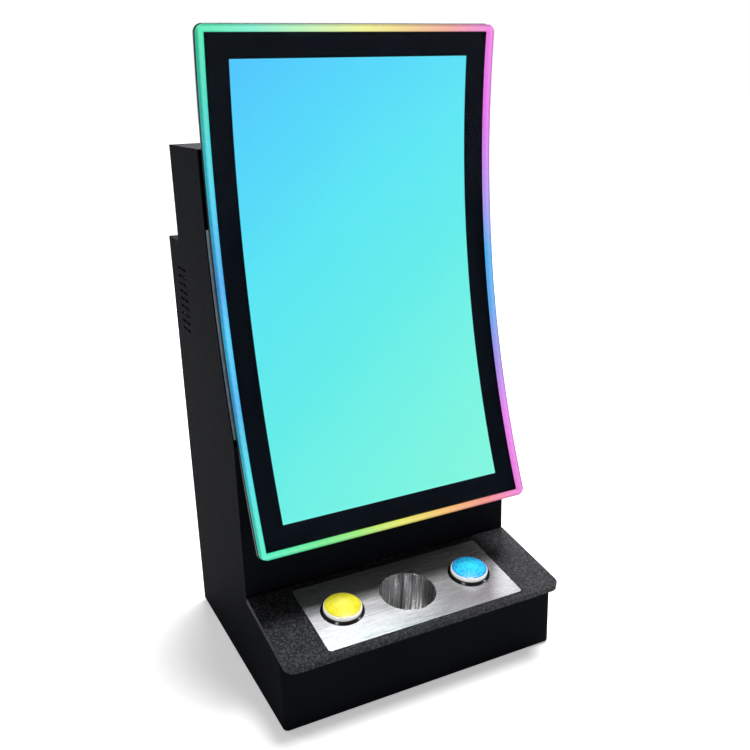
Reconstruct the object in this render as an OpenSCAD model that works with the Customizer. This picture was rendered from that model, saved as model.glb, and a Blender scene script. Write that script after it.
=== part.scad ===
// Counter-top slot machine with a tall concave screen over a sloping button deck.
// X runs across the machine, Y from the player towards the back, Z up.
// The origin is on the floor, under the middle of the bounding box.

/* [Cabinet] */
// Outside width of the cabinet
cab_w = 498; // [492:1:520]
// Thickness of the cabinet's sheet steel
sheet = 2; // [1.5:0.5:2.5]
// Height of the rubber feet below the base plate
foot_h = 4; // [3:1:8]
// Front face of the console box
console_y = -208; // [-212:1:-204]
// Front face of the cabinet above the deck
apron_y = -56; // [-58:1:-54]
// Back face of the lower cabinet
rear_y = 228; // [226:1:234]
// Back face of the upper cabinet
upper_rear_y = 167; // [160:1:172]
// Height where the lower cabinet's back steps in
ledge_z = 711; // [700:1:720]
// Top of the cabinet
top_z = 865; // [855:1:875]

/* [Deck] */
// Slope of the deck, falling towards the player
deck_angle = 8.5; // [8:0.5:9]
// Height of the deck's surface where it meets the cabinet
deck_rear_z = 158; // [156:1:160]
// Length of the deck down its slope
deck_len = 182; // [180:1:184]
// Thickness of the deck's folded lip
deck_t = 10; // [8:1:12]
// Radius of the deck's front corners
deck_corner_r = 18; // [10:1:24]
// Width of the stainless button plate
plate_w = 352; // [348:1:356]
// Length of the button plate down the slope
plate_d = 154; // [150:1:156]
// Thickness of the button plate
plate_t = 1.5; // [1:0.5:2]
// Distance of the plate's middle from the cabinet's front face
plate_y = 93.6; // [90:0.1:96]

/* [Cup holder] */
// Inside radius of the cup holder
cup_r = 46.5; // [40:0.5:48]
// Depth of the cup holder below the plate
cup_depth = 80; // [60:1:90]

/* [Buttons] */
// Distance of each button from the middle
button_x = 119; // [115:1:125]
// Radius of a button's black flange
flange_r = 36; // [34:0.5:38]
// Radius of the moving cap
cap_r = 31.5; // [30:0.5:32]
// Travel of a button
press = 2.8; // [2:0.1:3]

/* [Screen] */
// Radius of the front of the screen, centred in front of it
curve_r = 1500; // [1490:1:1510]
// Lean of the middle of the screen, negative when it looks up
lean = -8.2; // [-8.4:0.1:-8]
// Width of the picture
picture_w = 392.85; // [390:0.05:396]
// Height of the picture along its curve
picture_h = 698.4; // [690:0.1:702]
// Black border printed round the picture
border = 36; // [30:1:38]
// Width of the light guide round the glass
light_w = 10; // [8:0.5:12]
// Depth of the back cover behind the monitor's frame
cover_depth = 38; // [30:1:38]

/* [Service door] */
// Width of the door's opening
door_w = 380; // [340:1:390]
// Lowest edge of the door's opening
door_z0 = 110; // [105:1:130]
// Highest edge of the door's opening
door_z1 = 650; // [600:1:670]
// Gap round the door
door_gap = 1.5; // [1:0.5:2]

/* [Hidden] */
$fn = 64;

black = "#17181a";
steel = "#b9bcc0";
circuit = "#14512f";
half_w = cab_w / 2;
inner_w = half_w - sheet;       // inside face of a side panel
fit = 0.2;                      // gap between panels that butt
deck_front_local = -deck_len;   // the deck's own frame starts at the cabinet's front face
side_front = console_y + 10;    // the side panels start behind the bent console front
big = 3000;                     // larger than the whole machine

// Screen: centre of curvature, and half sizes measured across and along the curve
centre_y = -1508.6;
centre_z = 852;
picture_x = picture_w / 2;
picture_s = picture_h / 2;
glass_t = 3;
glass_x = picture_x + border;
glass_s = picture_s + border;
guide_gap = 0.3;
guide_x = glass_x + guide_gap + light_w;
guide_s = glass_s + guide_gap + light_w;
rim = 0.8;                      // black rim of the frame outside the light guide
frame_x = guide_x + rim;
frame_s = guide_s + rim;
module_x = picture_x + 6.6;     // liquid crystal module, with its own narrow border
module_s = picture_s + 6.8;
cover_inset = 21;
cover_x = frame_x - cover_inset;
cover_s = frame_s - cover_inset - 3;
cover_gap = 1.5;                // between the monitor's cover and the cabinet's panels
guide_front = curve_r - 3;      // the light guide stands a little proud of the glass
guide_back = curve_r + 7;
frame_step = curve_r + 9.2;
frame_back = curve_r + 14;
cover_front = frame_back + 0.2;
cover_back = cover_front + cover_depth;
seat_r = frame_back + 0.3;      // radius of the cabinet's edge behind the monitor
corner_r = 13;                  // outer corners of the light guide

// Buttons, in a frame on the top of the button plate
barrel_r = 14;
stem_r = 5;
guide_bore_r = 5.08;            // 0.08 mm running clearance
nib_z = -28;
lever_reach = 10.5;             // from the lever's pivot to the stem's nib
lever_clear = 0.32;
switch_x = -lever_reach;        // the lever's pivot, beside the stem

// Door hinges and lock
hinge_x = door_w / 2 - door_gap / 2;
hinge_y = rear_y + 4;
hinge_r = 4;
hinge_pin_r = 2;
hinge_zs = [door_z0 + 95, door_z1 - 95];
lock_x = -165;
lock_z = 380;

// Power inlet and switch, below the door
inlet_x = 150;
switch_panel_x = 100;
power_z = 62;
inlet_body = [28, 20];           // width and height of the inlet's body, behind its flange
switch_body = [13, 19];
cutout_fit = 0.3;               // gap round each in the panel

// Fan, on the upper back panel
fan_z = 790;
fan_size = 80;
fan_depth = 25;
fan_bore_r = 38.5;

// Speakers, behind the side panels' grilles
speaker_y = 162;
speaker_z = 612;

// Electronics bracket, behind the apron
bracket_y = -38;

function deg(s) = s / curve_r * 180 / PI;
function deck_top(y) = deck_rear_z + (y - apron_y) * tan(deck_angle);
function deck_under(y) = deck_top(y) - deck_t / cos(deck_angle);

// ---------- shared shapes ----------

// Part of a tube round the screen's centre of curvature, from x1 to x2 and s1 to s2 along the curve
module curved(r1, r2, x1, x2, s1, s2)
    translate([0, centre_y, centre_z]) rotate([90, 0, 90])
        rotate_extrude(angle = deg(s2 - s1), start = lean + deg(s1), $fn = 256)
            translate([r1, x1]) square([r2 - r1, x2 - x1]);

// The same, centred
module curved_plate(r1, r2, half_x, half_s) curved(r1, r2, -half_x, half_x, -half_s, half_s);

// Places children at a point of the screen, with +X outwards along the screen's normal to the back
module at_screen(r, x, s)
    translate([0, centre_y, centre_z]) rotate([lean + deg(s), 0, 0]) translate([x, r, 0]) children();

// What has to come off a curved plate to round its four corners. The arc is a little larger than r,
// so that it crosses the plate's sides instead of only touching them.
cross_over = 0.2;
module corner_cutters(r1, r2, half_x, half_s, r)
    for (sx = [-1, 1], ss = [-1, 1])
        at_screen(r1, sx * (half_x - r), ss * (half_s - r))
            rotate([-90, 0, 0]) difference() {
                translate([sx > 0 ? 0 : -2 * r, ss > 0 ? -2 * r : 0, -1]) cube([2 * r, 2 * r, r2 - r1 + 2]);
                translate([0, 0, -2]) cylinder(r = r + cross_over, h = r2 - r1 + 4);
            }

// Flat plate between two corners
module box(a, b) translate(a) cube(b - a);

// Deck frame: the origin is where the deck meets the cabinet, -Y runs down the slope and +Z is its normal
module on_deck() translate([0, apron_y, deck_rear_z]) rotate([deck_angle, 0, 0]) children();

// The middle of something on the button plate, with z = 0 on the plate's upper face
module on_plate(x) on_deck() translate([x, -plate_y, plate_t]) children();

// Stadium-shaped slot, long side along X, through z
module slot(length, width, depth) {
    translate([-(length - width) / 2, -width / 2, 0]) cube([length - width, width, depth]);
    for (s = [-1, 1]) translate([s * (length - width) / 2, 0, 0]) cylinder(d = width, h = depth, $fn = 24);
}

// Rounded rectangle, centred, all four corners
module rounded(w, d, r) {
    square([w - 2 * r, d], center = true);
    square([w, d - 2 * r], center = true);
    for (x = [-1, 1], y = [-1, 1]) translate([x * (w / 2 - r), y * (d / 2 - r)]) circle(r);
}

// Button-head screw with its head's seat at z = 0, its shank below and a hexagon socket in its top
head_rim = 0.3;                 // share of the head's height that is straight
head_crown = 0.68;              // radius of the head's flat top, as a share of its own
socket_share = 0.46;            // radius over the socket's corners, as a share of the head's
socket_depth = 0.62;            // as a share of the head's height
module screw(head_r, head_h, shank_r, length) difference() {
    union() {
        cylinder(r = head_r, h = head_h * head_rim, $fn = 32);
        translate([0, 0, head_h * head_rim])
            cylinder(r1 = head_r, r2 = head_r * head_crown, h = head_h * (1 - head_rim), $fn = 32);
        translate([0, 0, -length]) cylinder(r = shank_r, h = length + head_h * head_rim / 2, $fn = 32);
    }
    translate([0, 0, head_h * (1 - socket_depth)]) cylinder(r = head_r * socket_share, h = head_h, $fn = 6);
}

// Tube that follows a list of points; ref is any direction that the path never takes
function unit(v) = v / norm(v);
function tangent(p, i) = unit(p[min(i + 1, len(p) - 1)] - p[max(i - 1, 0)]);
function ring(c, t, r, n, ref) =
    let (u = unit(cross(t, ref)), v = cross(t, u))
    [for (k = [0 : n - 1]) c + r * (cos(360 * k / n) * u + sin(360 * k / n) * v)];
module tube(path, r, n, ref) {
    m = len(path);
    points = [for (i = [0 : m - 1]) each ring(path[i], tangent(path, i), r, n, ref)];
    sides = [for (i = [0 : m - 2], k = [0 : n - 1])
        let (a = i * n + k, b = i * n + (k + 1) % n) each [[a, b, b + n], [a, b + n, a + n]]];
    ends = [[for (k = [n - 1 : -1 : 0]) k], [for (k = [0 : n - 1]) (m - 1) * n + k]];
    polyhedron(points, concat(sides, ends));
}

// Smooth curve through a list of points, steps pieces to a stretch
function spline_point(a, b, c, d, t) = 0.5 * ((2 * b) + (c - a) * t + (2 * a - 5 * b + 4 * c - d) * t * t
    + (3 * b - a - 3 * c + d) * t * t * t);
function smooth(p, steps) = [
    for (i = [0 : len(p) - 2], j = [0 : steps - 1])
        spline_point(p[max(i - 1, 0)], p[i], p[i + 1], p[min(i + 2, len(p) - 1)], j / steps),
    p[len(p) - 1]];

// ---------- cabinet shell ----------

vent_rows = 9;
vent_pitch = 13;
vent_columns = [-13, 13];
vent_slot = [22, 4];

seat_low = 300;                 // the sides follow the screen's curve from this height up

// Outline of a side panel, as [y, z]; the curved edge is cut afterwards
side_outline = [
    [side_front, foot_h], [rear_y, foot_h], [rear_y, ledge_z], [upper_rear_y, ledge_z],
    [upper_rear_y, top_z], [apron_y, top_z], [apron_y, deck_under(apron_y)],
    [side_front, deck_under(side_front)],
];

// Side panel with its outer face at x = 0 and its thickness towards +X
module side_panel() difference() {
    rotate([90, 0, 90]) linear_extrude(sheet) polygon(side_outline);
    intersection() {
        translate([-1, centre_y, centre_z]) rotate([0, 90, 0])
            cylinder(r = seat_r, h = sheet + 2, $fn = 256);
        translate([-2, apron_y - 10, seat_low]) cube([sheet + 4, big, big]);
    }
    for (column = vent_columns, row = [0 : vent_rows - 1])
        translate([-1, speaker_y + column, speaker_z + (row - (vent_rows - 1) / 2) * vent_pitch])
            rotate([90, 0, 90]) slot(vent_slot[0], vent_slot[1], sheet + 2);
}
module side_panel_left() color(black) translate([-half_w, 0, 0]) side_panel();
module side_panel_right() color(black) translate([inner_w, 0, 0]) side_panel();

foot_x = 205;
foot_ys = [-170, 195];
bolt_x = 150;
bolt_ys = [-120, 60];
bolt_r = 4.5;
foot_screw_r = 2;
panel_x = inner_w - fit;        // half width of the panels that fit between the sides

module base_plate() color(black) difference() {
    translate([0, 0, foot_h]) linear_extrude(sheet) {
        console_bend(bend_r - sheet - fit, panel_x);
        translate([-panel_x, console_y + bend_r])
            square([2 * panel_x, rear_y - sheet - fit - console_y - bend_r]);
    }
    for (sx = [-1, 1], y = foot_ys)
        translate([sx * foot_x, y, foot_h - 1]) cylinder(r = foot_screw_r + 0.2, h = sheet + 2, $fn = 32);
    for (sx = [-1, 1], y = bolt_ys)
        translate([sx * bolt_x, y, foot_h - 1]) cylinder(r = bolt_r, h = sheet + 2);
}

// Console front: a sheet bent round both front corners, its top following the deck
bend_r = 8;
console_blank_h = 150;          // before the deck's slope cuts it
module console_bend(r, x) {
    translate([-x + r, console_y + (bend_r - r)]) square([2 * x - 2 * r, 2 * r]);
    translate([-x, console_y + bend_r]) square([2 * x, 2 + r]);
    for (s = [-1, 1]) translate([s * (x - r), console_y + bend_r]) circle(r);
}
module console_front() color(black) difference() {
    translate([0, 0, foot_h]) linear_extrude(console_blank_h) difference() {
        intersection() {
            console_bend(bend_r, half_w);
            translate([-half_w, console_y]) square([cab_w, side_front - fit - console_y]);
        }
        console_bend(bend_r - sheet, inner_w);
    }
    on_deck() translate([-half_w - 1, -big / 2, -deck_t]) cube([cab_w + 2, big, big]);
}

// Apron: closes the cabinet between the deck and the monitor, with an ear up each side
apron_top = 296;
apron_ear_x = cover_x + cover_gap;
apron_ear_top = 422;
apron_foot = 148;
module apron_panel() color(black) difference() {
    union() {
        box([-panel_x, apron_y, apron_foot], [panel_x, apron_y + sheet, apron_top]);
        for (s = [-1, 1])
            box([s > 0 ? apron_ear_x : -panel_x, apron_y, apron_top - 1],
                [s > 0 ? panel_x : -apron_ear_x, apron_y + sheet, apron_ear_top]);
    }
    on_deck() box([-half_w, -20, -big], [half_w, 20, 0.4]);
}

function seat_y(z) = centre_y + sqrt(seat_r * seat_r - (z - centre_z) * (z - centre_z));
module top_panel() color(black) difference() {
    box([-panel_x, seat_y(top_z) + 0.6, top_z - sheet], [panel_x, upper_rear_y, top_z]);
    box([-cover_x - cover_gap, 0, top_z - sheet - 1],
        [cover_x + cover_gap, centre_y + cover_back + cover_gap, top_z + 1]);
}

screw_r = 1.6;
upper_screws = [for (x = [-225, 225], z = [740, 840]) [x, z]];
fan_screw_at = 35.75;           // from the fan's middle, both ways
fan_screws = [for (sx = [-1, 1], sz = [-1, 1]) [sx * fan_screw_at, fan_z + sz * fan_screw_at]];
grille_x = 130;
grille_slot = [90, 5];
grille_pitch = 14;
grille_rows = 8;
grille_z = fan_z - (grille_rows - 1) / 2 * grille_pitch;
module rear_holes(list, y) for (p = list) translate([p[0], y - sheet - 1, p[1]]) rotate([-90, 0, 0])
    cylinder(r = screw_r + 0.15, h = sheet + 2, $fn = 24);
module upper_rear_panel() color(black) difference() {
    box([-panel_x, upper_rear_y - sheet, ledge_z + fit], [panel_x, upper_rear_y, top_z - sheet - fit]);
    translate([0, upper_rear_y - sheet - 1, fan_z]) rotate([-90, 0, 0])
        cylinder(r = fan_bore_r, h = sheet + 2);
    rear_holes(concat(upper_screws, fan_screws), upper_rear_y);
    for (sx = [-1, 1], row = [0 : grille_rows - 1])
        translate([sx * grille_x, upper_rear_y - sheet - 1, grille_z + row * grille_pitch])
            rotate([-90, 0, 0]) slot(grille_slot[0], grille_slot[1], sheet + 2);
}
module ledge_panel() color(black)
    box([-panel_x, upper_rear_y - sheet, ledge_z - sheet], [panel_x, rear_y - sheet - fit, ledge_z]);

rear_screws = [for (x = [-225, 225], z = [40, 260, 480, 690]) [x, z]];
module power_cutout(x, body) translate([x, rear_y - sheet / 2, power_z])
    cube([body[0] + 2 * cutout_fit, sheet + 2, body[1] + 2 * cutout_fit], center = true);
module rear_panel() color(black) difference() {
    box([-panel_x, rear_y - sheet, foot_h], [panel_x, rear_y, ledge_z]);
    box([-door_w / 2, rear_y - sheet - 1, door_z0], [door_w / 2, rear_y + 1, door_z1]);
    power_cutout(inlet_x, inlet_body);
    power_cutout(switch_panel_x, switch_body);
    rear_holes(rear_screws, rear_y);
    rear_holes(hinge_frame_screws, rear_y);
}

// Steel angles that join the panels inside the two back corners
angle_w = 20;
angle_t = 1.5;
angle_len = 680;
module corner_angles() color(steel) for (s = [-1, 1]) difference() {
    translate([0, 0, foot_h + sheet + 10]) union() {
        box([s > 0 ? inner_w - angle_t - fit : -inner_w + fit, rear_y - sheet - angle_w - fit, 0],
            [s > 0 ? inner_w - fit : -inner_w + angle_t + fit, rear_y - sheet - fit, angle_len]);
        box([s > 0 ? inner_w - angle_w : -inner_w + fit, rear_y - sheet - angle_t - fit, 0],
            [s > 0 ? inner_w - fit : -inner_w + angle_w, rear_y - sheet - fit, angle_len]);
    }
    for (p = rear_screws) translate([p[0], rear_y - sheet - 5, p[1]]) rotate([-90, 0, 0])
        cylinder(r = screw_r + 0.15, h = 8, $fn = 24);
}

foot_r = 16;
module feet() color("#202020") for (sx = [-1, 1], y = foot_ys) translate([sx * foot_x, y, 0]) difference() {
    cylinder(r1 = foot_r - 1.5, r2 = foot_r, h = foot_h);
    translate([0, 0, -1]) cylinder(r = 4.5, h = 3, $fn = 32);
    translate([0, 0, -1]) cylinder(r = foot_screw_r + 0.1, h = foot_h + 2, $fn = 32);
}

// ---------- deck ----------

stud_x = plate_w / 2 - 6;
stud_y = plate_d / 2 - 30;
cup_flange_r = cup_r + 6;
window_w = plate_w - 24;
window_front = plate_y + cup_flange_r + 1;   // stays behind the console's front
window_rear = plate_y - plate_d / 2 + 8;
lip_d = 33;                                  // depth of the solid lip along the deck's front
deck_side_rim = 6;
deck_rear_rim = 8;
cleat_w = 12;
cleat_y = [-140, -12];                       // its ends, in the deck's frame
stud_r = 2;
stud_len = 10;
module each_stud() for (x = [-1, 1], y = [-1, 1])
    translate([x * stud_x, -plate_y + y * stud_y, 0]) children();

module deck_outline() {
    translate([-half_w, deck_front_local + deck_corner_r]) square([cab_w, deck_len - deck_corner_r - 2]);
    translate([-half_w + deck_corner_r, deck_front_local])
        square([cab_w - 2 * deck_corner_r, deck_corner_r + 1]);
    for (s = [-1, 1]) translate([s * (half_w - deck_corner_r), deck_front_local + deck_corner_r])
        circle(deck_corner_r);
}
module deck_lid() color("#26272a") on_deck() difference() {
    translate([0, 0, -deck_t]) linear_extrude(deck_t) deck_outline();
    box([-half_w + deck_side_rim, deck_front_local + lip_d, -deck_t - 1],
        [half_w - deck_side_rim, -deck_rear_rim, -sheet]);
    box([-window_w / 2, -window_front, -deck_t - 1], [window_w / 2, -window_rear, 1]);
    each_stud() translate([0, 0, -deck_t]) cylinder(r = stud_r + 0.3, h = deck_t + 1, $fn = 24);
}
module deck_cleats() color(steel) on_deck() for (s = [-1, 1])
    box([s > 0 ? inner_w - cleat_w : -inner_w + fit, cleat_y[0], -deck_t - fit - cleat_w],
        [s > 0 ? inner_w - fit : -inner_w + cleat_w, cleat_y[1], -deck_t - fit]);

module button_plate() color(steel) on_deck() difference() {
    union() {
        translate([0, -plate_y, 0]) linear_extrude(plate_t) rounded(plate_w, plate_d, 5);
        each_stud() translate([0, 0, -stud_len]) cylinder(r = stud_r, h = stud_len + 0.5, $fn = 24);
    }
    for (x = [-button_x, button_x])
        translate([x, -plate_y, -1]) cylinder(r = barrel_r + 0.2, h = plate_t + 2);
    translate([0, -plate_y, -1]) cylinder(r = cup_r + 1.2, h = plate_t + 2, $fn = 96);
}
module plate_nuts() color(steel) on_deck() each_stud() translate([0, 0, -sheet - 3.2]) difference() {
    cylinder(r = 4, h = 3, $fn = 6);
    translate([0, 0, -1]) cylinder(r = stud_r + 0.05, h = 5, $fn = 24);
}

// Drawn steel cup, its mouth flush with the plate and a flange under it
cup_wall = 1;
cup_flange_z = [-plate_t - 1.6, -plate_t - 0.1];
module cup_holder() color("#d7d9dc") on_plate(0) rotate_extrude($fn = 128) polygon([
    [0, -cup_depth - cup_wall], [cup_r + cup_wall, -cup_depth - cup_wall],
    [cup_r + cup_wall, cup_flange_z[0]], [cup_flange_r, cup_flange_z[0]],
    [cup_flange_r, cup_flange_z[1]], [cup_r + cup_wall, cup_flange_z[1]],
    [cup_r + cup_wall, 0], [cup_r, 0], [cup_r, -cup_depth], [0, -cup_depth]]);

// ---------- push buttons ----------

flange_h = 4;
recess_floor = 1.5;
cap_bottom = recess_floor + press + 0.2;
cap_top = 11;
lens_r = 29.8;
dome_h = 4;
barrel_end = -26;
barrel_wall = 1.5;
web_z = [-6, -3];               // web across the barrel that guides the cap's stem
edge_chamfer = 2.5;

module button_bezel(x) color("#101010") on_plate(x) rotate_extrude($fn = 96) polygon([
    [guide_bore_r, web_z[1]], [barrel_r - barrel_wall, web_z[1]], [barrel_r - barrel_wall, recess_floor],
    [cap_r + 0.5, recess_floor], [cap_r + 0.5, flange_h], [flange_r - edge_chamfer, flange_h],
    [flange_r, flange_h - edge_chamfer], [flange_r, 0], [barrel_r, 0], [barrel_r, barrel_end],
    [barrel_r - barrel_wall, barrel_end], [barrel_r - barrel_wall, web_z[0]], [guide_bore_r, web_z[0]]]);
nib_r = 1.2;
nib_len = 6;
module button_cap(x) color("#f2f2ee") on_plate(x) rotate_extrude($fn = 96) polygon([
    [0, nib_z], [nib_r, nib_z], [nib_r, nib_z + nib_len], [stem_r, nib_z + nib_len], [stem_r, cap_bottom],
    [cap_r, cap_bottom], [cap_r, cap_top - 2], [cap_r - 1.5, cap_top], [0, cap_top]]);
module button_lens(x, tint) color(tint) on_plate(x) translate([0, 0, cap_top + 0.05]) intersection() {
    dome_r = (lens_r * lens_r + dome_h * dome_h) / (2 * dome_h);
    cylinder(r = lens_r, h = dome_h + 1, $fn = 96);
    translate([0, 0, dome_h - dome_r]) sphere(r = dome_r, $fn = 256);
}
module button_nut(x) color("#303236") on_plate(x) translate([0, 0, -plate_t - 5.1]) difference() {
    cylinder(r = 19, h = 5, $fn = 6);
    translate([0, 0, -1]) cylinder(r = barrel_r + 0.06, h = 7, $fn = 64);
}
// Return spring round the stem, between the barrel's web and the cap
spring_turns = 5;
spring_r = 7.4;
spring_wire_r = 0.4;
module button_spring(x) color(steel) on_plate(x) {
    low = web_z[1] + spring_wire_r + 0.05;
    rise = cap_bottom - spring_wire_r - 0.05 - low;
    steps = spring_turns * 12;
    tube([for (i = [0 : steps]) [spring_r * cos(30 * i), spring_r * sin(30 * i), low + rise * i / steps]],
        spring_wire_r, 6, [0, 0, 1]);
}
// Places something that runs along the lever's pivot and is centred on the switch
module lever_axis(length) translate([switch_x, -length / 2, lever_pin_z]) rotate([-90, 0, 0]) children();

// Switch block hung from the barrel on two straps; the lever's pivot pin is part of it
lever_z = nib_z - lever_clear;
lever_len = 17;
lever_pin_r = 0.8;
lever_pin_z = lever_z - 1;
block_z = lever_z - 22;
block_h = 16;
module micro_switch(x) color("#a7161c") on_plate(x) {
    difference() {
        union() {
            translate([-13, -6, block_z]) cube([26, 12, block_h]);
            for (s = [-1, 1]) translate([switch_x - 2.2, s * 5 - 1, lever_z - 6.5]) cube([4.4, 2, 7.5]);
            for (s = [-1, 1]) translate([-3, s * (barrel_r + 1.1) - 1, lever_z - 10]) cube([6, 2, 24]);
            translate([-3, -barrel_r - 1, lever_z - 10]) cube([6, 2 * barrel_r + 2, 2.5]);
        }
        lever_axis(16) cylinder(r = lever_pin_r, h = 16, $fn = 24);
    }
    lever_axis(11.8) cylinder(r = lever_pin_r, h = 11.8, $fn = 24);
    for (i = [-1, 0, 1]) translate([i * 8 - 1.5, -0.4, lever_z - 28]) cube([3, 0.8, 6.2]);
}
module switch_lever(x) color(steel) on_plate(x) difference() {
    union() {
        translate([switch_x, -3, lever_z - 0.5]) cube([lever_len, 6, 0.5]);
        lever_axis(6) cylinder(r = 1.5, h = 6, $fn = 32);
    }
    lever_axis(8) cylinder(r = lever_pin_r + 0.06, h = 8, $fn = 24);
    translate([switch_x - 3, -4, lever_z]) cube([30, 8, 3]);
}

module yellow_button_bezel() button_bezel(-button_x);
module yellow_button_cap() button_cap(-button_x);
module yellow_button_lens() button_lens(-button_x, "#f0e020");
module yellow_button_nut() button_nut(-button_x);
module yellow_button_spring() button_spring(-button_x);
module yellow_switch() micro_switch(-button_x);
module yellow_switch_lever() switch_lever(-button_x);
module blue_button_bezel() button_bezel(button_x);
module blue_button_cap() button_cap(button_x);
module blue_button_lens() button_lens(button_x, "#18a0e8");
module blue_button_nut() button_nut(button_x);
module blue_button_spring() button_spring(button_x);
module blue_switch() micro_switch(button_x);
module blue_switch_lever() switch_lever(button_x);

// ---------- monitor ----------

module touch_glass() color("#88c8d8", 0.4) curved_plate(curve_r, curve_r + glass_t, glass_x, glass_s);
mask_r = curve_r + glass_t + 0.05;
module bezel_mask() color("#08090b") difference() {
    curved_plate(mask_r, mask_r + 0.3, glass_x - 1, glass_s - 1);
    curved_plate(mask_r - 1, mask_r + 2, picture_x, picture_s);
}
module lcd_panel() color("#5ce0f0")
    curved_plate(mask_r + 0.4, mask_r + 2.4, module_x, module_s);
chassis_wall = 1.5;
chassis_front = mask_r + 2.5;
chassis_back = frame_back - 1;
chassis_slot_pitch = 90;
chassis_slot_half = 6;
chassis_slot_end = 30;          // solid at each side of the slots
module backlight_chassis() color(steel) difference() {
    curved_plate(chassis_front, chassis_back, module_x, module_s);
    curved_plate(chassis_front + chassis_wall, chassis_back - chassis_wall,
        module_x - chassis_wall, module_s - chassis_wall);
    for (i = [-3 : 3])
        curved(chassis_back - 3, chassis_back + 1, -module_x + chassis_slot_end,
            module_x - chassis_slot_end, i * chassis_slot_pitch - chassis_slot_half,
            i * chassis_slot_pitch + chassis_slot_half);
}
module light_guide() color("#7ff0d0") difference() {
    curved_plate(guide_front, guide_back, guide_x, guide_s);
    curved_plate(guide_front - 5, guide_back + 5, glass_x + guide_gap, glass_s + guide_gap);
    corner_cutters(guide_front, guide_back, guide_x, guide_s, corner_r);
}
strip_w = 8;
module led_strip() color("#e8e8e0") {
    near = guide_back + 0.3;
    far = frame_step - 0.3;
    mid_x = glass_x + guide_gap + light_w / 2;
    mid_s = glass_s + guide_gap + light_w / 2;
    for (s = [-1, 1]) {
        curved(near, far, s * mid_x - strip_w / 2, s * mid_x + strip_w / 2, -glass_s + 5, glass_s - 5);
        curved(near, far, -glass_x + 5, glass_x - 5, s * mid_s - strip_w / 2, s * mid_s + strip_w / 2);
    }
}
module monitor_frame() color(black) difference() {
    union() {
        curved_plate(frame_step, frame_back, frame_x, frame_s);
        curved_plate(mask_r + 0.4, frame_step + 1, glass_x - 0.5, glass_s - 0.5);
    }
    curved_plate(curve_r - 5, frame_back + 5, module_x + 0.6, module_s + 0.6);
    corner_cutters(frame_step, frame_back, frame_x, frame_s, corner_r + rim);
}
cover_vents = 9;
cover_vent = [80, 4];
cover_vent_x = 70;
cover_vent_pitch = 9;
cover_wall = 1.5;
module monitor_cover() color(black) difference() {
    curved_plate(cover_front, cover_back, cover_x, cover_s);
    curved_plate(cover_front - 2, cover_back - cover_wall, cover_x - cover_wall, cover_s - cover_wall);
    for (sx = [-1, 1], i = [0 : cover_vents - 1])
        at_screen(cover_back - 5, sx * cover_vent_x, cover_s - 40 - i * cover_vent_pitch)
            rotate([-90, 0, 0]) slot(cover_vent[0], cover_vent[1], 10);
}
module lcd_driver_board() color(circuit) {
    curved(cover_front + 2, cover_front + 3.6, -90, 60, 20, 130);
    curved(cover_front + 3.6, cover_front + 12, -80, -30, 30, 45);
    curved(cover_front + 3.6, cover_front + 9, -10, 30, 60, 100);
    for (x = [-85, 55], s = [25, 125])
        at_screen(chassis_back, x, s) rotate([-90, 0, 0])
            cylinder(r = 3, h = cover_front + 2.2 - chassis_back, $fn = 24);
}
rail_t = 6;
rail_s0 = -206;                 // the rails' lower and upper ends, along the screen's curve
rail_s1 = 112;
module monitor_rails() color(steel) for (s = [-1, 1])
    curved(seat_r, seat_r + rail_t, s > 0 ? cover_x + cover_gap : -panel_x,
        s > 0 ? panel_x : -cover_x - cover_gap, rail_s0, rail_s1);

// ---------- service door ----------

door_half = door_w / 2 - door_gap;
door_low = door_z0 + door_gap;
door_high = door_z1 - door_gap;
flange_d = 12;
hinge_half = 30;
knuckle = 10;
leaf_t = 1.5;
leaf_reach = 26;
door_slot = [110, 5];
door_slot_rows = 10;
hinge_screw_x = 17;             // from the pin
hinge_screw_zs = [-20, 20];
hinge_frame_screws = [for (z = hinge_zs, dz = hinge_screw_zs) [hinge_x + hinge_screw_x, z + dz]];
hinge_door_screws = [for (z = hinge_zs, dz = hinge_screw_zs) [hinge_x - hinge_screw_x, z + dz]];

module service_door() color(black) difference() {
    union() {
        box([-door_half, rear_y - sheet, door_low], [door_half, rear_y, door_high]);
        for (s = [-1, 1])
            box([s > 0 ? door_half - sheet : -door_half, rear_y - sheet - flange_d, door_low],
                [s > 0 ? door_half : -door_half + sheet, rear_y - sheet + 1, door_high]);
        for (z = [door_low, door_high - sheet])
            box([-door_half, rear_y - sheet - flange_d, z], [door_half, rear_y - sheet + 1, z + sheet]);
    }
    translate([lock_x, rear_y - sheet - 1, lock_z]) rotate([-90, 0, 0]) cylinder(r = 9.6, h = sheet + 2);
    for (column = [-80, 80], row = [0 : door_slot_rows - 1])
        translate([column, rear_y - sheet - 1, door_low + 50 + row * vent_pitch]) rotate([-90, 0, 0])
            slot(door_slot[0], door_slot[1], sheet + 2);
    rear_holes(hinge_door_screws, rear_y);
}

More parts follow.
